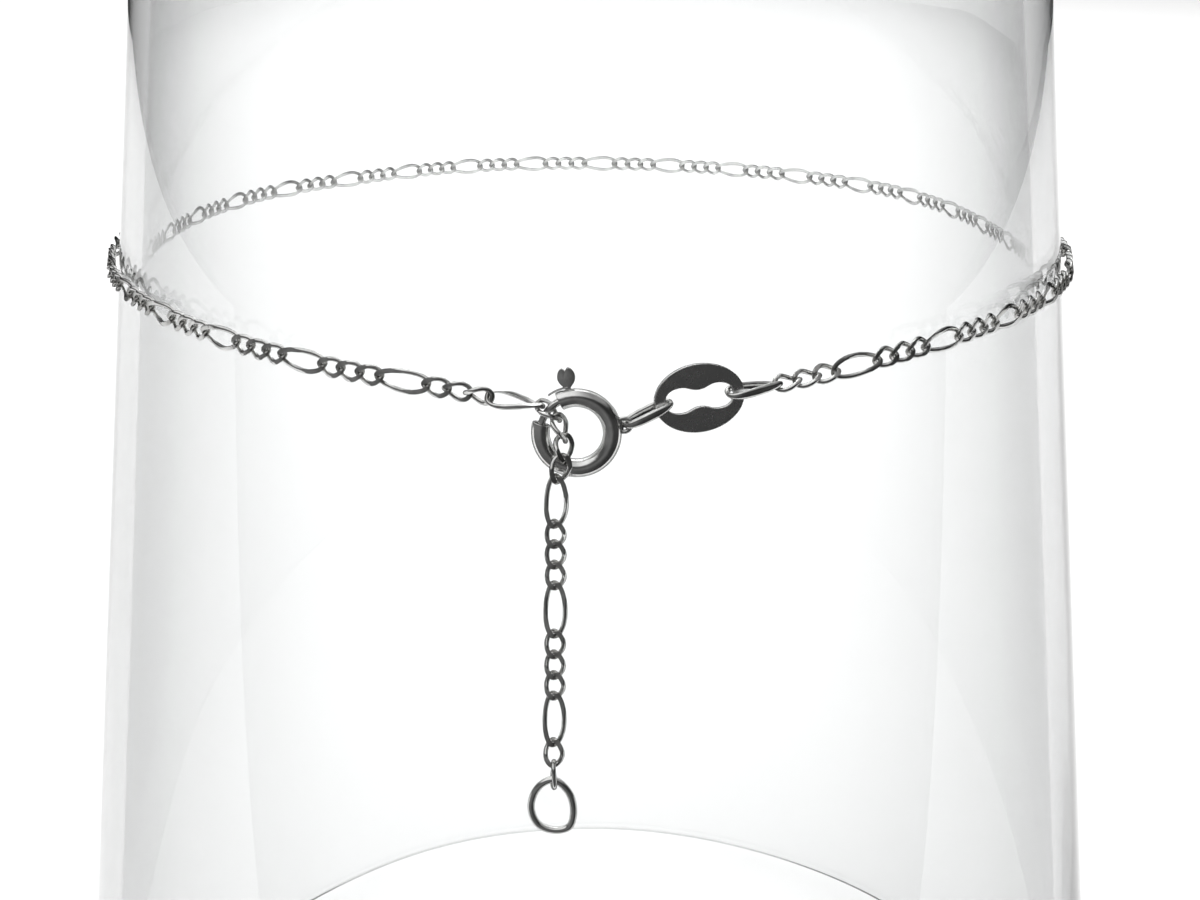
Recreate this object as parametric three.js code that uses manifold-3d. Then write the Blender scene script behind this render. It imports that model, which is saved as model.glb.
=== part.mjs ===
// Payal anklet: a fine figaro chain fastened round a plain tapered display glass by a
// spring-ring clasp, with a blank oval tag and a hanging extender that ends in a ring.
// Millimetres, +Z up, origin at the centre of the glass's rim on the surface it stands on.
// The clasp is at the front, on the -Y side.
import * as THREE from "three";
import { mergeVertices } from "three/addons/utils/BufferGeometryUtils.js";
import Module from "manifold-3d";

const DEG = Math.PI / 180;

// ---------- display glass ----------
const GLASS_HEIGHT = 145;
const GLASS_RIM_R = 46.4; // outer radius where it stands
const GLASS_TOP_R = 28.0; // outer radius at the closed top
const GLASS_WALL = 1.9;
const GLASS_TOP_THICK = 8; // the closed end is thicker than the wall
const GLASS_SEGMENTS = 64;
const TAPER = (GLASS_RIM_R - GLASS_TOP_R) / GLASS_HEIGHT; // inward per mm of height
const LEAN = Math.atan(TAPER);

// ---------- chain ----------
const LOOP_HEIGHT = 83; // mean height of the loop above the rim
const WIRE = 0.31; // link wire
const LINK_WIRE = 0.295; // modelled a hair thinner so linked pieces keep a gap
const LONG_IN = 3.0; // inner length of a long oval link
const SHORT_IN = 1.31; // inner length of a short round link
const LONG_WIDE = 1.47; // outer width
const SHORT_WIDE = 1.32;
const TWIST = -45 * DEG; // each end of a curb link is turned this far from its middle
const CHAIN_TUBE_R = 0.48; // the chain's body, as one tube
const CHAIN_OFF = 0.6; // centre line above the glass
const LOOP_STEPS = 76;

// Route of the loop: azimuth from the front, + to the right; height above the mean
// loop height; distance of the centre line from the glass.
const LOOP_ROUTE = [
  // az_deg, height, off
  [18.9, -0.45, 0.62],
  [22.5, -0.22, 0.6],
  [28.0, 0.15, 0.6],
  [38.0, 0.55, 0.6],
  [50.0, 0.74, 0.6],
  [64.0, 0.72, 0.6],
  [85.0, 0.4, 0.6],
  [110.0, 0.02, 0.6],
  [135.0, -0.15, 0.6],
  [160.0, -0.17, 0.6],
  [185.0, -0.1, 0.6],
  [210.0, 0.0, 0.6],
  [235.0, 0.16, 0.6],
  [260.0, 0.36, 0.6],
  [282.0, 0.56, 0.6],
  [299.0, 0.64, 0.6],
  [311.0, 0.5, 0.6],
  [321.0, 0.3, 0.6],
  [331.0, 0.02, 0.6],
  [339.5, -0.28, 0.6],
  [345.5, -0.55, 0.62],
  [349.9, -0.86, 0.75],
];

// ---------- spring-ring clasp ----------
const CLASP_AZ = -1.3 * DEG;
const CLASP_H = -2.85;
const CLASP_OFF = 0.85;
const CLASP_R = 2.09; // centre line of the ring's tube
const CLASP_TUBE_R = 0.55;
const CLASP_BORE_R = 0.34;
const BOLT_R = 0.22;
// clock angles, degrees clockwise from straight up
const GAP_RIGHT = -28;
const GAP_LEFT = -75;
const TRIGGER_AT = -10.5;
const BOLT_TIP = -83;
const BOLT_TAIL = 18;
const BOLT_TRAVEL = 55;
const EYE_AT = 80;
const EYE_R = 0.4;
const EYE_WIRE_R = 0.14;
const EYE_CENTRE = 2.8;
const SLOT_HALF = 0.18; // half width of the trigger's slot
const STEM_HALF = 0.11; // half thickness of the trigger
const HOOK_AT = -51.5; // where the chain's link sits on the bolt
const HOOK_IN = 0.071; // that link's middle, inward of the bolt's centre line
const HOOK_TILT = -12.2; // its outer end leans towards the glass
const HOOK_ROLL = -64.7; // and it is turned about its own length
const END_LINK_ROLL = -65.9; // the loop's last long link is turned with it

// ---------- tag ----------
const TAG_AZ = 9.85 * DEG;
const TAG_H = -0.97;
const TAG_OFF = 0.82;
const TAG_TURN = 6 * DEG; // right end a little higher
const TAG_LONG = 5.4;
const TAG_HIGH = 4.06;
const TAG_THICK = 0.32;
const TAG_SLOT_LONG = 4.06;
const TAG_SLOT_END = 1.5;
const TAG_SLOT_WAIST = 1.0;
const TAG_LINK_ROLL = -84; // the long link through it is turned almost edge on
const TAG_HOLD = 1.72; // from the tag's middle to the wire of each link through it

// ---------- extender ----------
// Route down the glass from the last small link: distance to the right of the clasp's
// axis, height above the clasp's centre, distance from the clasp's middle plane.
const DROP = [
  // u, v, n : where one small link hangs on the next
  [-1.08, 0.858, 0.138],
  [-0.696, -0.216, 0.325],
  [-0.733, -1.366, 0.854],
  [-1.071, -2.52, 0.953],
];
const DROP_ROLL = [-58.8, -32, -12.9]; // how far each link's face is turned, degrees
const EXTENDER_ROUTE = [
  // right, down along the glass from the mean loop height, off
  [-1.96, 6.0, 1.62],
  [-2.01, 8.6, 1.0],
  [-2.05, 12.0, 0.62],
  [-2.1, 16.0, 0.6],
  [-2.14, 20.0, 0.6],
  [-2.2, 23.15, 0.6],
];
const END_LINK_WIDE = 1.42;
const END_RING_WIRE = 0.44;
const END_RING = [
  // x, y of the wire's centre line round the ring's own middle
  [0.08, 1.66],
  [0.98, 0.86],
  [1.27, -0.35],
  [1.0, -1.4],
  [0.08, -1.66],
  [-0.9, -1.3],
  [-1.34, -0.25],
  [-1.1, 0.85],
  [-0.58, 1.45],
];

// ---------- finishes ----------
const silver = new THREE.MeshStandardMaterial({
  color: 0xb9b9bb,
  metalness: 1,
  roughness: 0.22,
});
const satin = new THREE.MeshStandardMaterial({
  color: 0x9c9c9e,
  metalness: 1,
  roughness: 0.38,
});
const clear = new THREE.MeshStandardMaterial({
  color: 0xf2f5f6,
  metalness: 0,
  roughness: 0.04,
  transparent: true,
  opacity: 0.25,
});

// ---------- solids ----------
const wasm = await Module();
wasm.setup();

function bare(geometry) {
  const g = geometry.index ? geometry.toNonIndexed() : geometry.clone();
  for (const name of Object.keys(g.attributes))
    if (name !== "position") g.deleteAttribute(name);
  return mergeVertices(g, 1e-4);
}
function solid(geometry) {
  const g = bare(geometry);
  return new wasm.Manifold(
    new wasm.Mesh({
      numProp: 3,
      vertProperties: new Float32Array(g.attributes.position.array),
      triVerts: new Uint32Array(g.index.array),
    }),
  );
}
function geometryOf(made) {
  const m = made.getMesh();
  const v = new Float32Array(m.numVert * 3);
  for (let i = 0; i < m.numVert; i++)
    v.set(m.vertProperties.subarray(i * m.numProp, i * m.numProp + 3), i * 3);
  const g = new THREE.BufferGeometry();
  g.setAttribute("position", new THREE.BufferAttribute(v, 3));
  g.setIndex(new THREE.BufferAttribute(new Uint32Array(m.triVerts), 1));
  g.computeVertexNormals();
  return g;
}

// ---------- frames on the glass ----------
const radiusAt = (z) => GLASS_RIM_R - TAPER * z;

// A frame whose x runs to the right round the glass, y up along it and z straight out of it.
function onGlass(az, h, off) {
  const out = new THREE.Vector3(Math.sin(az), -Math.cos(az), 0);
  const t = new THREE.Vector3(Math.cos(az), Math.sin(az), 0);
  const n = out
    .clone()
    .multiplyScalar(Math.cos(LEAN))
    .add(new THREE.Vector3(0, 0, Math.sin(LEAN)));
  const v = n.clone().cross(t);
  const z = LOOP_HEIGHT + h;
  const at = out
    .clone()
    .multiplyScalar(radiusAt(z))
    .add(new THREE.Vector3(0, 0, z))
    .addScaledVector(n, off);
  return new THREE.Matrix4().makeBasis(t, v, n).setPosition(at);
}

const anklet = new THREE.Group();
function add(name, geometry, material, matrix) {
  const mesh = new THREE.Mesh(geometry, material);
  mesh.name = name;
  if (matrix) mesh.applyMatrix4(matrix);
  anklet.add(mesh);
  return mesh;
}

// ---------- curves ----------
// The centre line of one curb link: an oval along x whose ends are turned about x.
class LinkCurve extends THREE.Curve {
  constructor(halfLong, halfWide, roll, twist) {
    super();
    Object.assign(this, { halfLong, halfWide, roll, twist });
  }
  getPoint(t, target = new THREE.Vector3()) {
    // a stadium with soft corners: the ends are half ovals as long as they are wide
    const a = t * 2 * Math.PI;
    const c = Math.cos(a),
      s = Math.sin(a);
    const power = this.halfLong > 1.6 * this.halfWide ? 0.72 : 0.9;
    const x = this.halfLong * Math.sign(c) * Math.abs(c) ** power;
    const y = this.halfWide * Math.sign(s) * Math.abs(s) ** power;
    const turn = this.roll + (this.twist * x) / this.halfLong;
    return target.set(x, y * Math.cos(turn), y * Math.sin(turn));
  }
}
function linkGeometry(centreLong, outerWide, roll, twist, wire = LINK_WIRE) {
  const curve = new LinkCurve(
    centreLong / 2,
    (outerWide - wire) / 2,
    roll,
    twist,
  );
  return new THREE.TubeGeometry(
    curve,
    centreLong > 2.5 ? 34 : 30,
    wire / 2,
    8,
    true,
  );
}
// Puts a link between the middles of the two wires at its ends; up is the way its flat faces.
function between(a, b, face) {
  const x = b.clone().sub(a).normalize();
  const y = face.clone().cross(x).normalize();
  const z = x.clone().cross(y);
  return new THREE.Matrix4()
    .makeBasis(x, y, z)
    .setPosition(a.clone().add(b).multiplyScalar(0.5));
}

class ArcCurve3 extends THREE.Curve {
  // an arc in the xy plane, by clock angles in degrees
  constructor(radius, from, to) {
    super();
    Object.assign(this, { radius, from, to });
  }
  getPoint(t, target = new THREE.Vector3()) {
    const a = (this.from + (this.to - this.from) * t) * DEG;
    return target.set(this.radius * Math.sin(a), this.radius * Math.cos(a), 0);
  }
}
function polygon(radius, sides) {
  const shape = new THREE.Shape();
  for (let i = 0; i < sides; i++) {
    const a = ((i + 0.5) / sides) * 2 * Math.PI;
    const x = radius * Math.cos(a),
      y = radius * Math.sin(a);
    if (i === 0) shape.moveTo(x, y);
    else shape.lineTo(x, y);
  }
  shape.closePath();
  return shape;
}
function rod(path, radius, sides, steps) {
  return new THREE.ExtrudeGeometry(polygon(radius, sides), {
    steps,
    extrudePath: path,
    bevelEnabled: false,
  });
}
// A sector between two radii and two clock angles, thick along z about the middle plane.
function sector(inner, outer, from, to, half, steps) {
  const shape = new THREE.Shape();
  for (let i = 0; i <= steps; i++) {
    const a = (from + ((to - from) * i) / steps) * DEG;
    const x = outer * Math.sin(a),
      y = outer * Math.cos(a);
    if (i === 0) shape.moveTo(x, y);
    else shape.lineTo(x, y);
  }
  for (let i = steps; i >= 0; i--) {
    const a = (from + ((to - from) * i) / steps) * DEG;
    shape.lineTo(inner * Math.sin(a), inner * Math.cos(a));
  }
  shape.closePath();
  const g = new THREE.ExtrudeGeometry(shape, {
    depth: 2 * half,
    bevelEnabled: false,
  });
  g.translate(0, 0, -half);
  return g;
}

// ---------- display glass: one turned shell, open downwards ----------
{
  const innerTop = GLASS_HEIGHT - GLASS_TOP_THICK;
  const inner = (z) => radiusAt(z) - GLASS_WALL;
  const profile = [
    [0, innerTop],
    [inner(innerTop) - 6.0, innerTop],
    [inner(innerTop) - 2.6, innerTop - 0.9],
    [inner(innerTop - 3) - 0.7, innerTop - 3.2],
    [inner(innerTop - 7), innerTop - 7],
    [inner(1.0), 1.0],
    [inner(0) + 0.28, 0.2],
    [inner(0) + 0.6, 0],
    [GLASS_RIM_R - 0.5, 0],
    [GLASS_RIM_R - 0.16, 0.2],
    [radiusAt(0.9), 0.9],
    [radiusAt(GLASS_HEIGHT - 3), GLASS_HEIGHT - 3],
    [radiusAt(GLASS_HEIGHT) - 0.85, GLASS_HEIGHT - 0.9],
    [radiusAt(GLASS_HEIGHT) - 2.6, GLASS_HEIGHT],
    [0, GLASS_HEIGHT],
  ].map(([r, z]) => new THREE.Vector2(r, z));
  const g = new THREE.LatheGeometry(profile, GLASS_SEGMENTS);
  g.rotateX(Math.PI / 2); // the lathe turns about y
  let made = solid(g);
  add("glass_tumbler", geometryOf(made), clear);
}

// ---------- the chain round the glass ----------
const routePoint = ([az, h, off]) =>
  new THREE.Vector3().setFromMatrixPosition(onGlass(az * DEG, h, off));
function loopCurve() {
  // rows are joined in azimuth, height and distance, then laid on the glass
  const rows = new THREE.CatmullRomCurve3(
    LOOP_ROUTE.map((r) => new THREE.Vector3(r[0], r[1], r[2])),
    false,
    "centripetal",
  );
  class Route extends THREE.Curve {
    getPoint(t, target = new THREE.Vector3()) {
      const p = rows.getPointAt(t);
      return target.copy(routePoint([p.x, p.y, p.z]));
    }
  }
  return new Route();
}
add("chain_loop", rod(loopCurve(), CHAIN_TUBE_R, 8, LOOP_STEPS), silver);

// ---------- clasp ----------
const clasp = onGlass(CLASP_AZ, CLASP_H, CLASP_OFF);
{
  const arc = new ArcCurve3(CLASP_R, GAP_RIGHT, GAP_LEFT + 360);
  const bore = new ArcCurve3(CLASP_R, GAP_RIGHT - 6, GAP_LEFT + 366);
  const eye = new THREE.TorusGeometry(EYE_R, EYE_WIRE_R, 10, 24);
  eye.translate(
    EYE_CENTRE * Math.sin(EYE_AT * DEG),
    EYE_CENTRE * Math.cos(EYE_AT * DEG),
    0,
  );
  const made = solid(rod(arc, CLASP_TUBE_R, 14, 44))
    .add(solid(eye))
    .subtract(solid(rod(bore, CLASP_BORE_R, 12, 46)))
    .subtract(
      solid(
        sector(
          CLASP_R + 0.12,
          CLASP_R + 0.8,
          TRIGGER_AT - 8.5,
          TRIGGER_AT + BOLT_TRAVEL + 8.5,
          SLOT_HALF,
          10,
        ),
      ),
    );
  add("clasp_ring", geometryOf(made), silver, clasp);
}
{
  // bolt, stem, spade-shaped thumb trigger and the thin strip that covers the slot
  const bolt = solid(rod(new ArcCurve3(CLASP_R, BOLT_TIP, BOLT_TAIL), BOLT_R, 10, 18));
  const head = new THREE.Shape();
  [
    [-0.2, 2.0],
    [-0.2, 2.76],
    [-0.42, 2.98],
    [-0.52, 3.3],
    [-0.42, 3.66],
    [-0.2, 3.86],
    [-0.06, 3.78],
    [0.06, 3.78],
    [0.22, 3.86],
    [0.44, 3.66],
    [0.53, 3.28],
    [0.42, 2.96],
    [0.2, 2.76],
    [0.2, 2.0],
  ].forEach(([x, y], i) => (i ? head.lineTo(x, y) : head.moveTo(x, y)));
  head.closePath();
  const trigger = new THREE.ExtrudeGeometry(head, {
    depth: 2 * STEM_HALF,
    bevelEnabled: false,
  });
  trigger.translate(0, 0, -STEM_HALF);
  trigger.rotateZ(-TRIGGER_AT * DEG);
  const strip = sector(
    CLASP_R + CLASP_TUBE_R + 0.05,
    CLASP_R + CLASP_TUBE_R + 0.14,
    TRIGGER_AT - 26,
    TRIGGER_AT + 1,
    0.17,
    8,
  );
  const made = bolt.add(solid(trigger)).add(solid(strip));
  add("clasp_bolt", geometryOf(made), silver, clasp);
}

// ---------- small links in the clasp ----------
const out = new THREE.Vector3().setFromMatrixColumn(clasp, 2);
const inClasp = (u, v, n) => new THREE.Vector3(u, v, n).applyMatrix4(clasp);
const GRIP = SHORT_IN / 2 + WIRE / 2; // middle of a short link to the middle of its end wire
{
  const a = HOOK_AT * DEG;
  const lean = HOOK_TILT * DEG;
  const mid = new THREE.Vector3(Math.sin(a), Math.cos(a), 0).multiplyScalar(
    CLASP_R - HOOK_IN,
  );
  const dir = new THREE.Vector3(
    Math.sin(a) * Math.cos(lean),
    Math.cos(a) * Math.cos(lean),
    Math.sin(lean),
  );
  const p = mid.clone().addScaledVector(dir, GRIP);
  const q = mid.clone().addScaledVector(dir, -GRIP);
  // the loop's last long link, whose end wire lies inside the hooked link's outer end
  const held = inClasp(
    ...mid
      .clone()
      .addScaledVector(dir, GRIP - WIRE - 0.023)
      .toArray(),
  );
  const aim = routePoint([349.9, -0.86, 0.75]);
  const far = held
    .clone()
    .addScaledVector(aim.sub(held).normalize(), LONG_IN + WIRE);
  add(
    "chain_end_link",
    linkGeometry(LONG_IN + WIRE, LONG_WIDE, END_LINK_ROLL * DEG, TWIST),
    silver,
    between(far, held, out),
  );
  add(
    "hooked_link",
    linkGeometry(2 * GRIP, SHORT_WIDE, HOOK_ROLL * DEG, TWIST),
    silver,
    between(inClasp(p.x, p.y, p.z), inClasp(q.x, q.y, q.z), out),
  );
}
for (let i = 0; i < 3; i++) {
  const a = inClasp(...DROP[i]),
    b = inClasp(...DROP[i + 1]);
  const along = b.clone().sub(a).normalize();
  const mid = a.clone().add(b).multiplyScalar(0.5);
  add(
    "drop_link_" + (i + 1),
    linkGeometry(2 * GRIP, SHORT_WIDE, DROP_ROLL[i] * DEG, TWIST),
    silver,
    between(
      mid.clone().addScaledVector(along, -GRIP),
      mid.clone().addScaledVector(along, GRIP),
      out,
    ),
  );
}

// ---------- extender ----------
const down = ([right, drop, off]) => {
  const z = -drop * Math.cos(LEAN);
  return onGlass(right / radiusAt(LOOP_HEIGHT + z), z, off);
};
const downPoint = (row) => new THREE.Vector3().setFromMatrixPosition(down(row));
add(
  "extender_chain",
  rod(
    new THREE.CatmullRomCurve3(EXTENDER_ROUTE.map(downPoint)),
    CHAIN_TUBE_R,
    8,
    10,
  ),
  silver,
);
{
  const a = downPoint([-2.21, 23.53, 0.7]);
  const b = downPoint([-2.22, 25.03, 0.74]);
  const along = b.clone().sub(a).normalize();
  const mid = a.clone().add(b).multiplyScalar(0.5);
  const face = new THREE.Vector3().setFromMatrixColumn(
    down([-2.2, 24.2, 0.6]),
    2,
  );
  add(
    "end_link",
    linkGeometry(2 * GRIP, END_LINK_WIDE, 82 * DEG, -8 * DEG),
    silver,
    between(
      mid.clone().addScaledVector(along, -GRIP),
      mid.clone().addScaledVector(along, GRIP),
      face,
    ),
  );
}
{
  const curve = new THREE.CatmullRomCurve3(
    END_RING.map(([x, y]) => new THREE.Vector3(x, y, 0)),
    true,
    "centripetal",
  );
  add(
    "end_ring",
    new THREE.TubeGeometry(curve, 40, END_RING_WIRE / 2, 10, true),
    silver,
    down([-2.27, 26.32, 0.66]),
  );
}

// ---------- tag and its links ----------
const tagFrame = onGlass(TAG_AZ, TAG_H, TAG_OFF).multiply(
  new THREE.Matrix4().makeRotationZ(TAG_TURN),
);
{
  const plate = new THREE.Shape();
  plate.absellipse(0, 0, TAG_LONG / 2, TAG_HIGH / 2, 0, 2 * Math.PI, false, 0);
  const slot = new THREE.Path();
  const L = TAG_SLOT_LONG / 2,
    E = TAG_SLOT_END / 2,
    W = TAG_SLOT_WAIST / 2;
  slot.moveTo(-L, 0);
  slot.bezierCurveTo(-L, E * 0.75, -L + 0.45, E, -L + 0.95, E);
  slot.bezierCurveTo(-0.62, E, -0.5, W, 0, W);
  slot.bezierCurveTo(0.5, W, 0.62, E, L - 0.95, E);
  slot.bezierCurveTo(L - 0.45, E, L, E * 0.75, L, 0);
  slot.bezierCurveTo(L, -E * 0.75, L - 0.45, -E, L - 0.95, -E);
  slot.bezierCurveTo(0.62, -E, 0.5, -W, 0, -W);
  slot.bezierCurveTo(-0.5, -W, -0.62, -E, -L + 0.95, -E);
  slot.bezierCurveTo(-L + 0.45, -E, -L, -E * 0.75, -L, 0);
  plate.holes.push(slot);
  const g = new THREE.ExtrudeGeometry(plate, {
    depth: TAG_THICK,
    bevelEnabled: false,
    curveSegments: 14,
  });
  g.translate(0, 0, -TAG_THICK / 2);
  add("oval_tag", g, satin, tagFrame);
}
{
  // from the eye of the clasp to the tag's left end
  const e = EYE_AT * DEG,
    r = CLASP_R + CLASP_TUBE_R + 0.23;
  const a = inClasp(r * Math.sin(e), r * Math.cos(e), 0);
  const b = new THREE.Vector3(-TAG_HOLD, 0, 0).applyMatrix4(tagFrame);
  const g = linkGeometry(a.distanceTo(b), 1.4, -76 * DEG, 0, 0.3);
  add("connecting_link", g, silver, between(a, b, out));
}
{
  // the first long link, from the tag's right end towards the chain
  const a = new THREE.Vector3(TAG_HOLD, 0, 0).applyMatrix4(tagFrame);
  const aim = routePoint([18.0, -0.5, 0.7]);
  const along = aim.clone().sub(a).normalize();
  const b = a.clone().addScaledVector(along, LONG_IN + WIRE);
  const face = new THREE.Vector3().setFromMatrixColumn(
    onGlass(15.3 * DEG, -0.7, 0.7),
    2,
  );
  add(
    "tag_link",
    linkGeometry(LONG_IN + WIRE, LONG_WIDE, TAG_LINK_ROLL * DEG, -20 * DEG),
    silver,
    between(a, b, face),
  );
}

export default anklet;
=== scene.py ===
import math

import bmesh
import bpy
import numpy as np
from mathutils import Matrix, Vector


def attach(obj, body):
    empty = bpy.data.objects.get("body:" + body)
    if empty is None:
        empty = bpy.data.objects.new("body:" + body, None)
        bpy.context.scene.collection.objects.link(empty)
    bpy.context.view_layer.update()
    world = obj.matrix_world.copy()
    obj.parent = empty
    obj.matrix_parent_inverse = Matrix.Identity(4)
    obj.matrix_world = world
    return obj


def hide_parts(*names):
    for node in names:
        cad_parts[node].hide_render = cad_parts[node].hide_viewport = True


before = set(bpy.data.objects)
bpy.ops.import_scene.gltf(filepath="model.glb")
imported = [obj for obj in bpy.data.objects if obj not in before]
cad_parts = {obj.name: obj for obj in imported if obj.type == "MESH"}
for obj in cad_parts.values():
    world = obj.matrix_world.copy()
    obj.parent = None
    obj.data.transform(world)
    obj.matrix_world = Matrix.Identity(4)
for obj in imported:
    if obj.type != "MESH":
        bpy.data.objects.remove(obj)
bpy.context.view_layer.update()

MM = 0.001
DEG = math.pi / 180

# ---------- dimensions, as in the solid model ----------
GLASS_HEIGHT = 145.0
GLASS_RIM_R = 46.4
GLASS_TOP_R = 28.0
GLASS_WALL = 1.9
GLASS_TOP_THICK = 8.0
TAPER = (GLASS_RIM_R - GLASS_TOP_R) / GLASS_HEIGHT
LEAN = math.atan(TAPER)
LOOP_HEIGHT = 83.0
WIRE = 0.31
LINK_WIRE = 0.296
LONG_IN, SHORT_IN = 3.0, 1.31
LONG_WIDE, SHORT_WIDE = 1.47, 1.32
TWIST = -45 * DEG
GRIP = SHORT_IN / 2 + WIRE / 2
FLAT = 0.215  # half thickness of the filed flat faces of a link

LOOP_ROUTE = [  # azimuth in degrees, height above the mean, distance from the glass
    (18.9, -0.45, 0.62), (22.5, -0.22, 0.6), (28.0, 0.15, 0.6), (38.0, 0.55, 0.6),
    (50.0, 0.74, 0.6), (64.0, 0.72, 0.6), (85.0, 0.4, 0.6), (110.0, 0.02, 0.6),
    (135.0, -0.15, 0.6), (160.0, -0.17, 0.6), (185.0, -0.1, 0.6), (210.0, 0.0, 0.6),
    (235.0, 0.16, 0.6), (260.0, 0.36, 0.6), (282.0, 0.56, 0.6), (299.0, 0.64, 0.6),
    (311.0, 0.5, 0.6), (321.0, 0.3, 0.6), (331.0, 0.02, 0.6), (339.5, -0.28, 0.6),
    (345.5, -0.55, 0.62), (349.9, -0.86, 0.75),
]

CLASP_AZ, CLASP_H, CLASP_OFF = -1.3 * DEG, -2.85, 0.85
CLASP_R, TUBE_R, BORE_R, BOLT_R = 2.09, 0.55, 0.34, 0.22
GAP_RIGHT, GAP_LEFT = -28.0, -75.0
TRIGGER_AT, BOLT_TIP, BOLT_TAIL, BOLT_TRAVEL = -10.5, -83.0, 18.0, 55.0
EYE_AT, EYE_R, EYE_WIRE_R, EYE_CENTRE = 80.0, 0.4, 0.14, 2.8
SLOT_HALF, STEM_HALF = 0.18, 0.11
HOOK_AT, HOOK_IN, HOOK_TILT, HOOK_ROLL = -51.5, 0.071, -12.2, -64.7
END_LINK_ROLL = -65.9

TAG_AZ, TAG_H, TAG_OFF, TAG_TURN = 9.85 * DEG, -0.97, 0.82, 6 * DEG
TAG_LONG, TAG_HIGH, TAG_THICK = 5.4, 4.06, 0.32
TAG_SLOT_LONG, TAG_SLOT_END, TAG_SLOT_WAIST, TAG_HOLD = 4.06, 1.5, 1.0, 1.72
TAG_LINK_ROLL = -84

DROP = [  # across, up and out from the clasp's middle
    (-1.08, 0.858, 0.138), (-0.696, -0.216, 0.325),
    (-0.733, -1.366, 0.854), (-1.071, -2.52, 0.953),
]
DROP_ROLL = [-58.8, -32, -12.9]
EXTENDER_ROUTE = [  # right, down along the glass, distance from the glass
    (-1.96, 6.0, 1.62), (-2.01, 8.6, 1.0), (-2.05, 12.0, 0.62),
    (-2.1, 16.0, 0.6), (-2.14, 20.0, 0.6), (-2.2, 23.15, 0.6),
]
END_LINK_WIDE, END_RING_WIRE = 1.42, 0.44
END_RING = [
    (0.08, 1.66), (0.98, 0.86), (1.27, -0.35), (1.0, -1.4), (0.08, -1.66),
    (-0.9, -1.3), (-1.34, -0.25), (-1.1, 0.85), (-0.58, 1.45),
]

# ---------- camera ----------
RING_R = 36.47  # centre line of the chain
cam_data = bpy.data.cameras.new("camera")
cam = bpy.data.objects.new("camera", cam_data)
bpy.context.scene.collection.objects.link(cam)
bpy.context.scene.camera = cam
CAM_DIST, CAM_UP, CAM_DOWN, CAM_ROLL, CAM_YAW = 3.543 * RING_R, 0.2252, 0.3521, 0.003, 0.006
place = Vector((0, -CAM_DIST * math.cos(CAM_UP), LOOP_HEIGHT + CAM_DIST * math.sin(CAM_UP))) * MM
look = Vector((math.sin(CAM_YAW) * math.cos(CAM_DOWN), math.cos(CAM_YAW) * math.cos(CAM_DOWN), -math.sin(CAM_DOWN)))
side = Vector((math.cos(CAM_YAW), -math.sin(CAM_YAW), 0))
above = side.cross(look)
right = side * math.cos(CAM_ROLL) + above * math.sin(CAM_ROLL)
up = -side * math.sin(CAM_ROLL) + above * math.cos(CAM_ROLL)
cam.matrix_world = Matrix((
    (right.x, up.x, -look.x, place.x),
    (right.y, up.y, -look.y, place.y),
    (right.z, up.z, -look.z, place.z),
    (0, 0, 0, 1),
))
cam_data.sensor_width = 36
cam_data.lens = 1626 / 1200 * 36
cam_data.clip_start, cam_data.clip_end = 0.004, 60


# ---------- vectors and frames ----------
def unit(v):
    v = np.asarray(v, float)
    return v / np.linalg.norm(v)


def radius_at(z):
    return GLASS_RIM_R - TAPER * z


def on_glass(az, h, off):
    """x to the right round the glass, y up along it, z straight out of it."""
    out = np.array([math.sin(az), -math.cos(az), 0.0])
    t = np.array([math.cos(az), math.sin(az), 0.0])
    n = out * math.cos(LEAN) + np.array([0, 0, math.sin(LEAN)])
    z = LOOP_HEIGHT + h
    m = np.eye(4)
    m[:3, 0], m[:3, 1], m[:3, 2] = t, np.cross(n, t), n
    m[:3, 3] = out * radius_at(z) + np.array([0, 0, z]) + n * off
    return m


def at(m, p):
    return m[:3, :3] @ np.asarray(p, float) + m[:3, 3]


def between(a, b, face):
    x = unit(b - a)
    y = unit(np.cross(face, x))
    m = np.eye(4)
    m[:3, 0], m[:3, 1], m[:3, 2], m[:3, 3] = x, y, np.cross(x, y), (a + b) / 2
    return m


def catmull(points, closed=False, per=24):
    """A centripetal curve through the points."""
    p = np.asarray(points, float)
    n = len(p)
    out = []
    for i in range(n if closed else n - 1):
        if closed:
            q = [p[(i + k) % n] for k in (-1, 0, 1, 2)]
        else:
            q = [
                p[i - 1] if i else 2 * p[0] - p[1],
                p[i],
                p[i + 1],
                p[i + 2] if i + 2 < n else 2 * p[-1] - p[-2],
            ]
        t = [0.0]
        for a, b in zip(q, q[1:]):
            t.append(t[-1] + max(np.linalg.norm(b - a), 1e-6) ** 0.5)
        for k in range(per):
            s = t[1] + (t[2] - t[1]) * k / per
            a1 = (t[1] - s) / (t[1] - t[0]) * q[0] + (s - t[0]) / (t[1] - t[0]) * q[1]
            a2 = (t[2] - s) / (t[2] - t[1]) * q[1] + (s - t[1]) / (t[2] - t[1]) * q[2]
            a3 = (t[3] - s) / (t[3] - t[2]) * q[2] + (s - t[2]) / (t[3] - t[2]) * q[3]
            b1 = (t[2] - s) / (t[2] - t[0]) * a1 + (s - t[0]) / (t[2] - t[0]) * a2
            b2 = (t[3] - s) / (t[3] - t[1]) * a2 + (s - t[1]) / (t[3] - t[1]) * a3
            out.append((t[2] - s) / (t[2] - t[1]) * b1 + (s - t[1]) / (t[2] - t[1]) * b2)
    if not closed:
        out.append(p[-1])
    return np.array(out)


class Path:
    """A polyline read by its length."""

    def __init__(self, points):
        self.p = np.asarray(points, float)
        step = np.linalg.norm(np.diff(self.p, axis=0), axis=1)
        self.s = np.concatenate([[0], np.cumsum(step)])
        self.length = self.s[-1]

    def at(self, s):
        return np.array([np.interp(s, self.s, self.p[:, k]) for k in range(3)])


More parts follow.
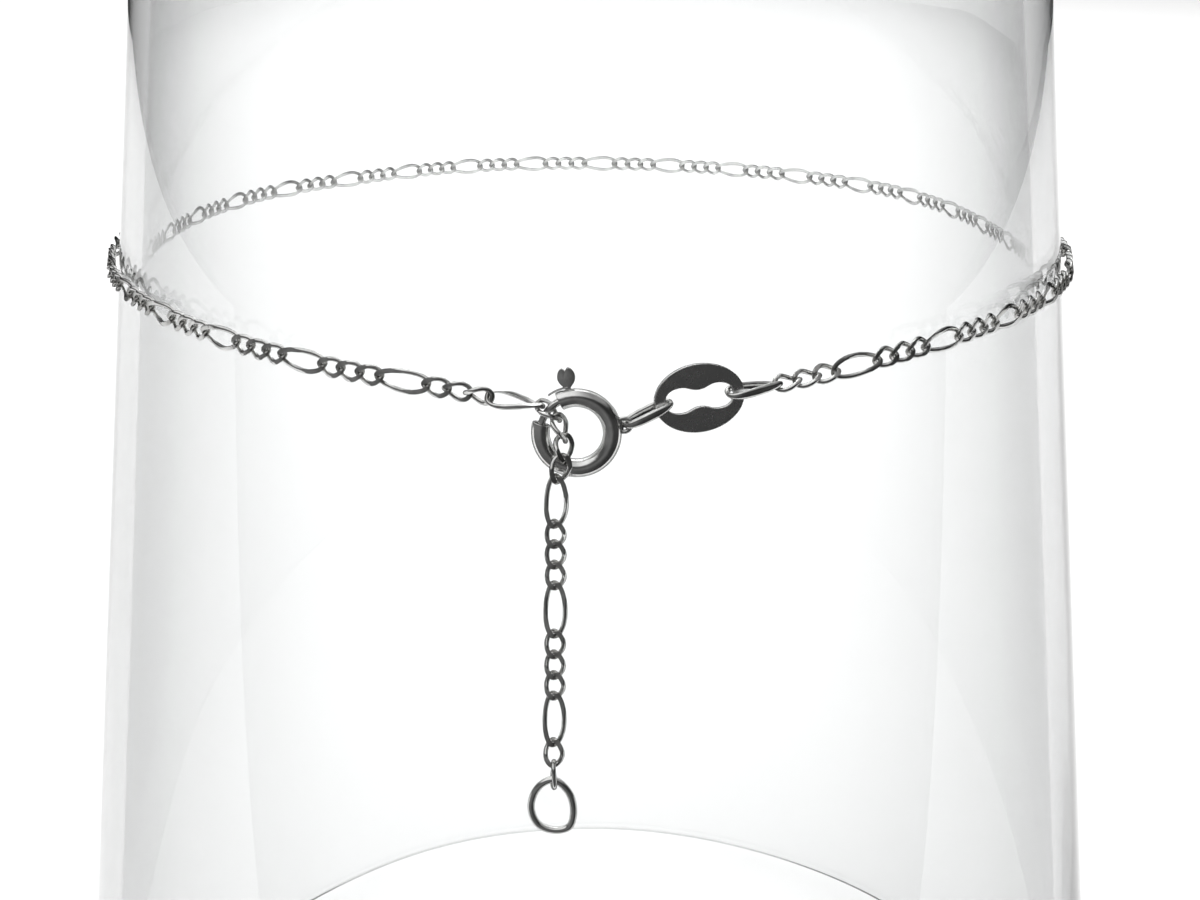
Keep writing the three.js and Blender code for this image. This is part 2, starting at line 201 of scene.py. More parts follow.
# ---------- meshes ----------
def make(name, verts, faces, sharp=35, smooth=True):
    me = bpy.data.meshes.new(name)
    me.from_pydata([tuple(v) for v in np.asarray(verts, float) * MM], [], faces)
    me.validate()
    if smooth:
        me.polygons.foreach_set("use_smooth", [True] * len(me.polygons))
        me.set_sharp_from_angle(angle=sharp * DEG)
    me.update()
    o = bpy.data.objects.new(name, me)
    bpy.context.scene.collection.objects.link(o)
    return o


def grid_faces(rows, cols, wrap_rows, wrap_cols, start=0, flip=False):
    faces = []
    for i in range(rows if wrap_rows else rows - 1):
        for j in range(cols if wrap_cols else cols - 1):
            a, b = start + i * cols + j, start + i * cols + (j + 1) % cols
            c, d = start + ((i + 1) % rows) * cols + (j + 1) % cols, start + ((i + 1) % rows) * cols + j
            faces.append((a, d, c, b) if flip else (a, b, c, d))
    return faces


def rod(path, radius, sides, up_hint, closed=False, deep=1.0):
    """A round rod along a path. Its sections turn with up_hint, one vector or one for each point,
    and are deep times as thick along it."""
    p = np.asarray(path, float)
    n = len(p)
    if closed:
        tangent = np.roll(p, -1, 0) - np.roll(p, 1, 0)
    else:
        tangent = np.gradient(p, axis=0)
    tangent /= np.linalg.norm(tangent, axis=1)[:, None]
    hint = np.broadcast_to(np.asarray(up_hint, float), (n, 3))
    b = hint - (hint * tangent).sum(1)[:, None] * tangent
    b /= np.linalg.norm(b, axis=1)[:, None]
    a = np.cross(b, tangent)
    t = np.arange(sides) / sides * 2 * math.pi
    r = np.broadcast_to(np.asarray(radius, float), (n,))
    v = p[:, None, :] + r[:, None, None] * (
        np.cos(t)[None, :, None] * a[:, None, :]
        + np.broadcast_to(np.asarray(deep, float), (n,))[:, None, None] * np.sin(t)[None, :, None] * b[:, None, :]
    )
    faces = grid_faces(n, sides, closed, True, flip=True)
    verts = v.reshape(-1, 3)
    if not closed:
        verts = np.vstack([verts, p[0], p[-1]])
        for j in range(sides):
            k = (j + 1) % sides
            faces.append((n * sides, k, j))
            faces.append((n * sides + 1, (n - 1) * sides + j, (n - 1) * sides + k))
    return verts, faces


def link_mesh(centre_long, outer_wide, roll, twist, wire=LINK_WIRE, steps=48, sides=14, flat=FLAT, deep=0.0):
    """One curb link along x: an oval whose ends are turned about x, filed flat on both faces."""
    hl, hw = centre_long / 2, (outer_wide - wire) / 2
    a = np.arange(steps) / steps * 2 * math.pi
    # steps closer together round the two tight ends
    a = a - 0.16 * np.sin(2 * a) * (1 if hl > 1.6 * hw else 0)
    c, s = np.cos(a), np.sin(a)
    power = 0.72 if hl > 1.6 * hw else 0.9
    x = hl * np.sign(c) * np.abs(c) ** power
    y = hw * np.sign(s) * np.abs(s) ** power
    turn = twist * x / hl
    p = np.stack([x, y * np.cos(turn), y * np.sin(turn)], 1)
    hint = np.stack([0 * turn, -np.sin(turn), np.cos(turn)], 1)
    ribbon = 1 + deep * (1 - np.abs(x / hl) ** 3)
    v, f = rod(p, wire / 2, sides, hint, closed=True, deep=ribbon)
    if flat:
        over = np.abs(v[:, 2]) - flat
        v[:, 2] = np.where(over > 0, np.sign(v[:, 2]) * (flat + over * 0.05), v[:, 2])
    cr, sr = math.cos(roll), math.sin(roll)
    v = np.stack([v[:, 0], v[:, 1] * cr - v[:, 2] * sr, v[:, 1] * sr + v[:, 2] * cr], 1)
    return v, f


def placed(m, verts):
    return verts @ m[:3, :3].T + m[:3, 3]


def joined(parts):
    verts, faces, n = [], [], 0
    for v, f in parts:
        verts.append(v)
        faces += [tuple(i + n for i in face) for face in f]
        n += len(v)
    return np.vstack(verts), faces


def baked(o, sharp=35):
    """The object with its modifiers applied."""
    bpy.context.view_layer.update()
    dg = bpy.context.evaluated_depsgraph_get()
    me = bpy.data.meshes.new_from_object(o.evaluated_get(dg))
    o.modifiers.clear()
    o.data = me
    me.polygons.foreach_set("use_smooth", [True] * len(me.polygons))
    me.set_sharp_from_angle(angle=sharp * DEG)
    me.update()
    return o


def boolean(o, other, operation):
    mod = o.modifiers.new("b", "BOOLEAN")
    mod.operation, mod.solver, mod.object = operation, "EXACT", other
    baked(o)
    bpy.data.objects.remove(other)
    return o


def bevel(o, width, segments=2, angle=40):
    mod = o.modifiers.new("edges", "BEVEL")
    mod.width, mod.segments, mod.limit_method, mod.angle_limit = width * MM, segments, "ANGLE", angle * DEG
    mod.harden_normals = False
    return baked(o, sharp=28)


def clean(o):
    bm = bmesh.new()
    bm.from_mesh(o.data)
    bmesh.ops.remove_doubles(bm, verts=bm.verts, dist=1e-8)
    bmesh.ops.dissolve_degenerate(bm, edges=bm.edges, dist=1e-8)
    bmesh.ops.recalc_face_normals(bm, faces=bm.faces)
    bm.to_mesh(o.data)
    bm.free()
    return o


# ---------- materials ----------
def nodes_of(name):
    m = bpy.data.materials.new(name)
    m.use_nodes = True
    nt = m.node_tree
    return m, nt, nt.nodes["Principled BSDF"], nt.nodes["Material Output"]


def noise(nt, vector, scale, detail=3.0, rough=0.55):
    n = nt.nodes.new("ShaderNodeTexNoise")
    n.inputs["Scale"].default_value = scale
    n.inputs["Detail"].default_value = detail
    n.inputs["Roughness"].default_value = rough
    nt.links.new(vector, n.inputs["Vector"])
    return n.outputs["Fac"]


def ramp(nt, fac, stops):
    r = nt.nodes.new("ShaderNodeValToRGB")
    e = r.color_ramp.elements
    while len(e) < len(stops):
        e.new(0.5)
    for k, (p, c) in enumerate(stops):
        e[k].position = p
        e[k].color = (*c, 1) if hasattr(c, "__len__") else (c, c, c, 1)
    nt.links.new(fac, r.inputs[0])
    return r.outputs[0]


def spread(nt, fac, low, high):
    r = nt.nodes.new("ShaderNodeMapRange")
    r.inputs["From Min"].default_value, r.inputs["From Max"].default_value = 0.3, 0.7
    r.inputs["To Min"].default_value, r.inputs["To Max"].default_value = low, high
    nt.links.new(fac, r.inputs["Value"])
    return r.outputs[0]


def stretched(nt, turn, scale):
    """Object coordinates turned by -turn about Z and stretched."""
    tc = nt.nodes.new("ShaderNodeTexCoord")
    mp = nt.nodes.new("ShaderNodeMapping")
    mp.inputs["Rotation"].default_value = (0, 0, -turn)
    mp2 = nt.nodes.new("ShaderNodeMapping")
    mp2.inputs["Scale"].default_value = scale
    nt.links.new(tc.outputs["Object"], mp.inputs["Vector"])
    nt.links.new(mp.outputs[0], mp2.inputs["Vector"])
    return mp2.outputs[0]


def silver(name, light, dull, rough, scratches, grain_scale=1600.0, turn=0.0, grain=(1, 1, 1), edge=0.05):
    """Silver with a soft uneven polish, a little tarnish and painted shade in its recesses, and hair scratches."""
    m, nt, bsdf, _ = nodes_of(name)
    bsdf.inputs["Metallic"].default_value = 1.0
    # the edge colour is near black, so the metal's reflections turn black at glancing angles: painted black outlines
    bsdf.inputs["Specular Tint"].default_value = (edge, edge, edge, 1)
    tc = nt.nodes.new("ShaderNodeTexCoord").outputs["Object"]
    tarnish_shade = nt.nodes.new("ShaderNodeAttribute")
    tarnish_shade.attribute_name = "tarnish_shade"
    patch = noise(nt, tc, 900.0, 4.0, 0.6)
    tone = ramp(nt, patch, [(0.32, dull), (0.6, light)])
    # the recess colour, well below the polish: tarnish and painted shade
    mix = nt.nodes.new("ShaderNodeMix")
    mix.data_type = "RGBA"
    mix.inputs[7].default_value = (dull[0] * 0.42, dull[1] * 0.41, dull[2] * 0.39, 1)
    nt.links.new(tarnish_shade.outputs["Fac"], mix.inputs[0])
    nt.links.new(tone, mix.inputs[6])
    nt.links.new(mix.outputs[2], bsdf.inputs["Base Color"])
    fine = noise(nt, stretched(nt, turn, grain), grain_scale, 2.0, 0.5)
    low, high = rough
    nt.links.new(spread(nt, noise(nt, tc, 2100.0, 3.0), low, high), bsdf.inputs["Roughness"])
    bump = nt.nodes.new("ShaderNodeBump")
    bump.inputs["Strength"].default_value = scratches
    bump.inputs["Distance"].default_value = 0.00002
    nt.links.new(fine, bump.inputs["Height"])
    nt.links.new(bump.outputs[0], bsdf.inputs["Normal"])
    return m


polished = silver("polished_silver", (0.86, 0.86, 0.85), (0.7, 0.7, 0.69), (0.1, 0.2), 0.3, 3800.0)
chain_silver = silver("chain_silver", (0.84, 0.84, 0.83), (0.62, 0.62, 0.61), (0.1, 0.24), 0.3, 4200.0)
satin = silver("satin_silver", (0.84, 0.84, 0.835), (0.78, 0.78, 0.775), (0.22, 0.3), 0.3, 5200.0, TAG_AZ, (0.12, 1.0, 1.0))


def clear_glass(name):
    """Clear soda glass, a little wavy, that lets the lamps' light reach the floor."""
    m, nt, bsdf, out = nodes_of(name)
    # the sides are painted greyer in the glass's colour: a little of that is the longer way light takes through the
    # wall at a glancing angle, the rest is painted shade
    facing = nt.nodes.new("ShaderNodeLayerWeight")
    facing.inputs["Blend"].default_value = 0.5
    wall_colour_and_side_shade = ramp(nt, facing.outputs["Facing"], [
        (0.05, (0.98, 0.985, 0.985)), (0.2, (0.95, 0.955, 0.955)), (0.39, (0.82, 0.825, 0.825)), (0.6, (0.66, 0.665, 0.665)), (0.8, (0.38, 0.385, 0.385)), (0.95, (0.2, 0.205, 0.205)),
    ])
    nt.links.new(wall_colour_and_side_shade, bsdf.inputs["Base Color"])
    bsdf.inputs["Transmission Weight"].default_value = 1.0
    bsdf.inputs["IOR"].default_value = 1.5
    tc = nt.nodes.new("ShaderNodeTexCoord").outputs["Object"]
    bsdf.inputs["Roughness"].default_value = 0.0
    mp = nt.nodes.new("ShaderNodeMapping")
    mp.inputs["Scale"].default_value = (1, 1, 0.18)
    nt.links.new(tc, mp.inputs["Vector"])
    bump = nt.nodes.new("ShaderNodeBump")
    bump.inputs["Strength"].default_value = 0.12
    bump.inputs["Distance"].default_value = 0.0004
    nt.links.new(noise(nt, mp.outputs[0], 70.0, 1.0), bump.inputs["Height"])
    nt.links.new(bump.outputs[0], bsdf.inputs["Normal"])
    clear = nt.nodes.new("ShaderNodeBsdfTransparent")
    clear.inputs["Color"].default_value = (0.86, 0.86, 0.86, 1)
    path = nt.nodes.new("ShaderNodeLightPath")
    mix = nt.nodes.new("ShaderNodeMixShader")
    nt.links.new(path.outputs["Is Shadow Ray"], mix.inputs[0])
    nt.links.new(bsdf.outputs[0], mix.inputs[1])
    nt.links.new(clear.outputs[0], mix.inputs[2])
    nt.links.new(mix.outputs[0], out.inputs["Surface"])
    return m


glass_mat = clear_glass("clear_glass")


def finish_piece(o, material, slot, body, *nodes):
    o.data.materials.clear()
    o.data.materials.append(material)
    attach(o, body)
    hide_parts(*nodes)
    return o


def paint_tarnish_shade(o, values):
    a = o.data.attributes.new("tarnish_shade", "FLOAT", "POINT")
    a.data.foreach_set("value", np.clip(np.asarray(values, np.float32), 0, 1))


# ---------- display glass ----------
def rounded_profile():
    """Outline of the wall from the inside of the top, round the rim and over the top again."""
    top_in = GLASS_HEIGHT - GLASS_TOP_THICK
    inner = lambda z: radius_at(z) - GLASS_WALL
    corner = [  # r, z, rounding
        (0, top_in, 0), (inner(top_in), top_in, 5.5), (inner(0) + 0.02, 0, 0.75),
        (GLASS_RIM_R, 0, 0.7), (GLASS_TOP_R, GLASS_HEIGHT, 2.6), (0, GLASS_HEIGHT, 0),
    ]
    pts = []
    for i, (r, z, cut) in enumerate(corner):
        if not cut:
            pts.append((r, z))
            continue
        here = np.array([r, z])
        back = unit(np.array(corner[i - 1][:2]) - here) * cut
        ahead = unit(np.array(corner[i + 1][:2]) - here) * cut
        n = 14
        for k in range(n + 1):
            t = k / n
            pts.append(tuple(here + back * (1 - t) ** 2 + ahead * t**2))
    # long straight runs get steps of their own
    full = []
    for (r0, z0), (r1, z1) in zip(pts, pts[1:]):
        full.append((r0, z0))
        n = int(math.hypot(r1 - r0, z1 - z0) // 6)
        full += [(r0 + (r1 - r0) * k / (n + 1), z0 + (z1 - z0) * k / (n + 1)) for k in range(1, n + 1)]
    full.append(pts[-1])
    return full


def glass_object():
    prof = rounded_profile()
    seg = 288
    az = np.arange(seg) / seg * 2 * math.pi
    rows = []
    half = len(prof) // 2
    top_in = GLASS_HEIGHT - GLASS_TOP_THICK
    turned = False
    for r, z in prof[1:-1]:
        if z <= 0.01:
            turned = True
        # the inside is a little uneven, as blown glass is
        wave = 0.0
        if not turned and z < top_in - 6:
            swell = min(1.0, (top_in - 6 - z) / 20) * min(1.0, z / 8)
            wave = swell * (
                0.05 * np.sin(3 * az + 0.7) + 0.03 * np.sin(7 * az + 2.1 + z * 0.01) + 0.016 * np.sin(13 * az + 0.4 - z * 0.016)
            )
        rr = r + wave
        rows.append(np.stack([rr * np.sin(az), -rr * np.cos(az), np.full(seg, z)], 1))
    v = np.vstack(rows + [np.array([[0, 0, prof[0][1]], [0, 0, prof[-1][1]]])])
    n = len(rows)
    f = grid_faces(n, seg, False, True)
    for j in range(seg):
        k = (j + 1) % seg
        f.append((n * seg, k, j))
        f.append((n * seg + 1, (n - 1) * seg + j, (n - 1) * seg + k))
    o = make("display_glass", v, f, sharp=60)
    clean(o)
    return o


finish_piece(glass_object(), glass_mat, "clear_glass", "root", "glass_tumbler")

# ---------- the loop ----------
clasp = on_glass(CLASP_AZ, CLASP_H, CLASP_OFF)
out_of_clasp = clasp[:3, 2]
tag_frame = on_glass(TAG_AZ, TAG_H, TAG_OFF) @ np.array(Matrix.Rotation(TAG_TURN, 4, "Z"), float)


def route_point(row):
    return on_glass(row[0] * DEG, row[1], row[2])[:3, 3]


def crossing_tarnish_shade(v, centre_long):
    """Where a link's ends turn in on the next link, the colour is darker: a little tarnish, and painted shade where the
    next link covers it.
    """
    x = np.abs(v[:, 0]) / (centre_long / 2)
    inside = 1 - np.clip(np.hypot(v[:, 1], v[:, 2]) / 0.55, 0, 1)
    return np.clip((x - 0.62) * 2.2, 0, 1) * (0.25 + 0.6 * inside)


def chain(contacts, rolls, longs, normal_at, steps=(60, 44)):
    """Links between following contact points."""
    parts, tarnish_shade_marks = [], []
    for i, (a, b) in enumerate(zip(contacts, contacts[1:])):
        u = unit(b - a)
        span = np.linalg.norm(b - a)
        m = between(a - u * WIRE / 2, b + u * WIRE / 2, normal_at((a + b) / 2))
        wide = LONG_WIDE if longs[i] else SHORT_WIDE
        v, f = link_mesh(
            span + WIRE, wide, rolls[i] * DEG, TWIST, steps=steps[0] if longs[i] else steps[1],
            flat=FLAT + 0.06 * min(1.0, abs(rolls[i]) / 50),
        )
        tarnish_shade_marks.append(crossing_tarnish_shade(v, span + WIRE))
        parts.append((placed(m, v), f))
    return parts, tarnish_shade_marks


def glass_normal(p):
    out = unit([p[0], p[1], 0])
    return out * math.cos(LEAN) + np.array([0, 0, math.sin(LEAN)])


# ends of the loop: the long link at the tag and the long link at the clasp
tag_a = at(tag_frame, (TAG_HOLD, 0, 0))
tag_along = unit(route_point((18.0, -0.5, 0.7)) - tag_a)
tag_b = tag_a + tag_along * (LONG_IN + WIRE)
hook_a = HOOK_AT * DEG
hook_lean = HOOK_TILT * DEG
hook_mid = np.array([math.sin(hook_a), math.cos(hook_a), 0]) * (CLASP_R - HOOK_IN)
hook_dir = np.array([
    math.sin(hook_a) * math.cos(hook_lean), math.cos(hook_a) * math.cos(hook_lean), math.sin(hook_lean),
])
held = at(clasp, hook_mid + hook_dir * (GRIP - WIRE - 0.023))
far = held + unit(route_point((349.9, -0.86, 0.75)) - held) * (LONG_IN + WIRE)

start = tag_b - tag_along * WIRE / 2
finish_at = far + unit(held - far) * WIRE / 2
rows = catmull(LOOP_ROUTE, per=40)
rows = rows[(rows[:, 0] > 20.2) & (rows[:, 0] < 348.3)]
body = np.array([route_point(r) for r in rows])
ends = [start, body[0], body[3], body[6]], [body[-7], body[-4], body[-1], finish_at]
path = Path(np.vstack([catmull(ends[0], per=20)[:21], body[1:-1], catmull(ends[1], per=20)[-21:]]))

REPEATS = 30
longs = [0, 0, 0] + [1, 0, 0, 0] * REPEATS
spans = np.array([LONG_IN if k else SHORT_IN for k in longs])
spans *= path.length / spans.sum()
marks = np.concatenate([[0], np.cumsum(spans)])
contacts = [path.at(s) for s in marks]
rng = np.random.default_rng(7)
rolls = rng.normal(0, 2.5, len(longs))
for k, r in enumerate((-57, -50, -38, -22, -10, -4)):
    rolls[k] = r
for k, r in enumerate((37, 19, 6, 1)):
    rolls[len(rolls) - 1 - k] = r
parts, tarnish_shade_marks = chain(contacts, rolls, longs, glass_normal)
mid = [(contacts[i] + contacts[i + 1]) / 2 for i in range(len(longs))]
for name, keep in (("chain_front", lambda p: p[1] < 0), ("chain_back", lambda p: p[1] >= 0)):
    chosen = [i for i in range(len(parts)) if keep(mid[i])]
    o = make(name, *joined([parts[i] for i in chosen]), sharp=32)
    # the back chain's recesses are painted half again darker than the front's: painted shade
    paint_tarnish_shade(o, np.concatenate([tarnish_shade_marks[i] for i in chosen]) * (1.0 if name == "chain_front" else 1.5))
    finish_piece(o, chain_silver, "polished_silver", "root", "chain_loop")


def single(name, m, centre_long, wide, roll, twist, node, wire=LINK_WIRE, flat=FLAT, deep=0.0):
    v, f = link_mesh(centre_long, wide, roll * DEG, twist * DEG, wire, steps=80, sides=20, flat=flat, deep=deep)
    o = make(name, placed(m, v), f, sharp=32)
    paint_tarnish_shade(o, crossing_tarnish_shade(v, centre_long) * 0.8)
    return finish_piece(o, chain_silver, "polished_silver", "root", node)


single("loop_end_link", between(far, held, out_of_clasp), LONG_IN + WIRE, LONG_WIDE, END_LINK_ROLL, -45, "chain_end_link", flat=0.3, deep=0.2)
single(
    "link_on_bolt",
    between(at(clasp, hook_mid + hook_dir * GRIP), at(clasp, hook_mid - hook_dir * GRIP), out_of_clasp),
    2 * GRIP, SHORT_WIDE, HOOK_ROLL, -45, "hooked_link",
)
for i in range(3):
    a, b = at(clasp, DROP[i]), at(clasp, DROP[i + 1])
    u, c = unit(b - a), (a + b) / 2
    single(f"inner_link_{i + 1}", between(c - u * GRIP, c + u * GRIP, out_of_clasp), 2 * GRIP, SHORT_WIDE, DROP_ROLL[i], -45, f"drop_link_{i + 1}")


# ---------- extender ----------
def down(row):
    r, drop, off = row
    z = -drop * math.cos(LEAN)
    return on_glass(r / radius_at(LOOP_HEIGHT + z), z, off)


def down_point(row):
    return down(row)[:3, 3]


top = at(clasp, DROP[3])
low = down_point((-2.21, 23.53, 0.7))
way = Path(catmull([top] + [down_point(r) for r in EXTENDER_ROUTE[1:]] + [low], per=60))
ext_longs = [1, 0, 0, 0, 1, 0, 0, 0, 1, 0]
ext = np.array([LONG_IN if k else SHORT_IN for k in ext_longs])
ext *= way.length / ext.sum()
ext_marks = np.concatenate([[0], np.cumsum(ext)])
parts, tarnish_shade_marks = chain(
    [way.at(s) for s in ext_marks], [3, 2, -2, 3, 1, -3, 2, 0, -2, 6], ext_longs, glass_normal, steps=(72, 56)
)
o = make("extender_links", *joined(parts), sharp=32)
paint_tarnish_shade(o, np.concatenate(tarnish_shade_marks))
finish_piece(o, chain_silver, "polished_silver", "root", "extender_chain")

a, b = low, down_point((-2.22, 25.03, 0.74))
u, c = unit(b - a), (a + b) / 2
single("link_to_end_ring", between(c - u * GRIP, c + u * GRIP, down((-2.2, 24.2, 0.6))[:3, 2]), 2 * GRIP, END_LINK_WIDE, 82, -8, "end_link")

ring_frame = down((-2.27, 26.32, 0.66))
ring_line = catmull([(x, y, 0) for x, y in END_RING], closed=True, per=14)
v, f = rod(ring_line, END_RING_WIRE / 2, 24, (0, 0, 1), closed=True)
o = make("extender_end_ring", placed(ring_frame, v), f)
paint_tarnish_shade(o, np.zeros(len(v)))
finish_piece(o, polished, "polished_silver", "root", "end_ring")


# ---------- clasp ----------
def clock_point(r, clock, n=0.0):
    return np.array([r * math.sin(clock * DEG), r * math.cos(clock * DEG), n])


def clasp_tube():
    slot = (TRIGGER_AT - 8.5, TRIGGER_AT + BOLT_TRAVEL + 8.5)
    clocks = sorted(set(
        [round(c, 4) for c in np.linspace(GAP_RIGHT, slot[0], 5)]
        + [round(c, 4) for c in np.linspace(slot[0], slot[1], 27)]
        + [round(c, 4) for c in np.linspace(slot[1], GAP_LEFT + 360, 84)]
    ))
    lo_i, hi_i = clocks.index(round(slot[0], 4)), clocks.index(round(slot[1], 4))

    def angles(r):
        s = math.asin(SLOT_HALF / r)
        return np.concatenate([np.linspace(-s, s, 5)[:-1], np.linspace(s, 2 * math.pi - s, 29)[:-1]])

    verts = []
    for radius in (TUBE_R, BORE_R):
        ang = angles(radius)
        for c in clocks:
            for t in ang:
                verts.append(clock_point(CLASP_R + radius * math.cos(t), c, radius * math.sin(t)))
    cols, rows_n = 32, len(clocks)
    inner = rows_n * cols
    faces = []
    for i in range(rows_n - 1):
        for j in range(cols):
            if lo_i <= i < hi_i and j < 4:
                continue
            k = (j + 1) % cols
            q = (i * cols + j, (i + 1) * cols + j, (i + 1) * cols + k, i * cols + k)
            faces.append(q)
            faces.append(tuple(inner + x for x in reversed(q)))
    for i in range(lo_i, hi_i):
        for j in (0, 4):
            q = (i * cols + j, (i + 1) * cols + j, inner + (i + 1) * cols + j, inner + i * cols + j)
            faces.append(q if j else tuple(reversed(q)))
    for i in (lo_i, hi_i):
        for j in range(4):
            q = (i * cols + j, i * cols + j + 1, inner + i * cols + j + 1, inner + i * cols + j)
            faces.append(q if i == lo_i else tuple(reversed(q)))
    for i in (0, rows_n - 1):
        for j in range(cols):
            k = (j + 1) % cols
            q = (i * cols + j, i * cols + k, inner + i * cols + k, inner + i * cols + j)
            faces.append(q if i == 0 else tuple(reversed(q)))
    return np.array(verts), faces


ring = make("clasp_shell", *clasp_tube())
clean(ring)
bevel(ring, 0.035, 3, 50)
# the eye, a small closed ring soldered to the outside
t = np.arange(56) / 56 * 2 * math.pi
centre = clock_point(EYE_CENTRE, EYE_AT)
eye_line = np.stack([centre[0] + EYE_R * np.cos(t), centre[1] + EYE_R * np.sin(t), 0 * t], 1)
eye = make("eye", *rod(eye_line, EYE_WIRE_R, 20, (0, 0, 1), closed=True))
clean(eye)
arc = np.array([clock_point(CLASP_R, c) for c in np.linspace(EYE_AT - 25, EYE_AT + 25, 41)])
core = make("core", *rod(arc, 0.46, 24, (0, 0, 1)))
clean(core)
boolean(eye, core, "DIFFERENCE")
boolean(ring, eye, "UNION")
# solder runs out along the tube on both sides of the eye
bead_verts, bead_faces = [], []
u_, v_ = 20, 12
for i in range(v_ + 1):
    la = math.pi * i / v_
    for j in range(u_):
        lo = 2 * math.pi * j / u_
        # along the tube, out of it and across it
        bead_verts.append((0.36 * math.sin(la) * math.cos(lo), 0.15 * math.cos(la), 0.13 * math.sin(la) * math.sin(lo)))
bead_faces = grid_faces(v_ + 1, u_, False, True)
bm_turn = np.array(Matrix.Rotation(-EYE_AT * DEG, 4, "Z"), float)
bead = make("bead", placed(bm_turn, np.array(bead_verts)) + clock_point(CLASP_R + TUBE_R - 0.01, EYE_AT), bead_faces)
clean(bead)
boolean(ring, bead, "UNION")
ring.data.transform(Matrix([[*r] for r in np.vstack([np.hstack([clasp[:3, :3], clasp[:3, 3:4] * MM]), [0, 0, 0, 1]])]))
ring.name = "clasp_ring_shell"
paint_tarnish_shade(ring, np.zeros(len(ring.data.vertices)))
finish_piece(ring, polished, "polished_silver", "root", "clasp_ring")


def plate(name, outline, half, turn, bevel_width):
    """A flat plate from an outline, its edges rounded."""
    n = len(outline)
    v = [(x, y, z) for z in (-half, half) for x, y in outline]
    f = [tuple(range(n))[::-1], tuple(range(n, 2 * n))]
    f += [(i, (i + 1) % n, n + (i + 1) % n, n + i) for i in range(n)]
    o = make(name, placed(np.array(Matrix.Rotation(turn, 4, "Z"), float), np.array(v)), f)
    clean(o)
    if bevel_width:
        bevel(o, bevel_width, 3, 50)
    return o


bolt_line = np.array([clock_point(CLASP_R, c) for c in np.linspace(BOLT_TIP, BOLT_TAIL, 61)])
taper = np.full(61, BOLT_R)
taper[:4] = BOLT_R * np.array([0.55, 0.8, 0.93, 0.99])
taper[-3:] = BOLT_R * np.array([0.98, 0.9, 0.7])
bolt = make("bolt", *rod(bolt_line, taper, 20, (0, 0, 1)))
clean(bolt)
head_line = [
    (-0.17, 2.12), (-0.16, 2.66), (-0.26, 2.8), (-0.42, 3.0), (-0.51, 3.26), (-0.49, 3.5), (-0.4, 3.7),
    (-0.26, 3.84), (-0.15, 3.86), (-0.07, 3.78), (0.0, 3.72), (0.07, 3.78), (0.16, 3.87), (0.28, 3.84),
    (0.42, 3.7), (0.51, 3.5), (0.53, 3.26), (0.43, 2.98), (0.26, 2.8), (0.16, 2.66), (0.17, 2.12),
]
smooth_head = catmull([(x, y, 0) for x, y in head_line], per=4)[:, :2]
head = plate("head", smooth_head[::-1], STEM_HALF, -TRIGGER_AT * DEG, 0.035)
boolean(bolt, head, "UNION")
strip_line = []
for r, cs in ((CLASP_R + TUBE_R + 0.13, np.linspace(TRIGGER_AT - 26, TRIGGER_AT + 1, 19)), (CLASP_R + TUBE_R + 0.055, np.linspace(TRIGGER_AT + 1, TRIGGER_AT - 26, 19))):
    strip_line += [tuple(clock_point(r, c)[:2]) for c in cs]
strip = plate("strip", strip_line[::-1], 0.17, 0, 0.02)
boolean(bolt, strip, "UNION")
bolt.data.transform(Matrix([[*r] for r in np.vstack([np.hstack([clasp[:3, :3], clasp[:3, 3:4] * MM]), [0, 0, 0, 1]])]))
bolt.name = "bolt_with_trigger"
paint_tarnish_shade(bolt, np.zeros(len(bolt.data.vertices)))
finish_piece(bolt, polished, "polished_silver", "bolt", "clasp_bolt")


# ---------- tag ----------
def bezier(p0, p1, p2, p3, n):
    t = np.arange(n)[:, None] / n
    p0, p1, p2, p3 = (np.array(p, float) for p in (p0, p1, p2, p3))
    return p0 * (1 - t) ** 3 + 3 * p1 * t * (1 - t) ** 2 + 3 * p2 * t**2 * (1 - t) + p3 * t**3


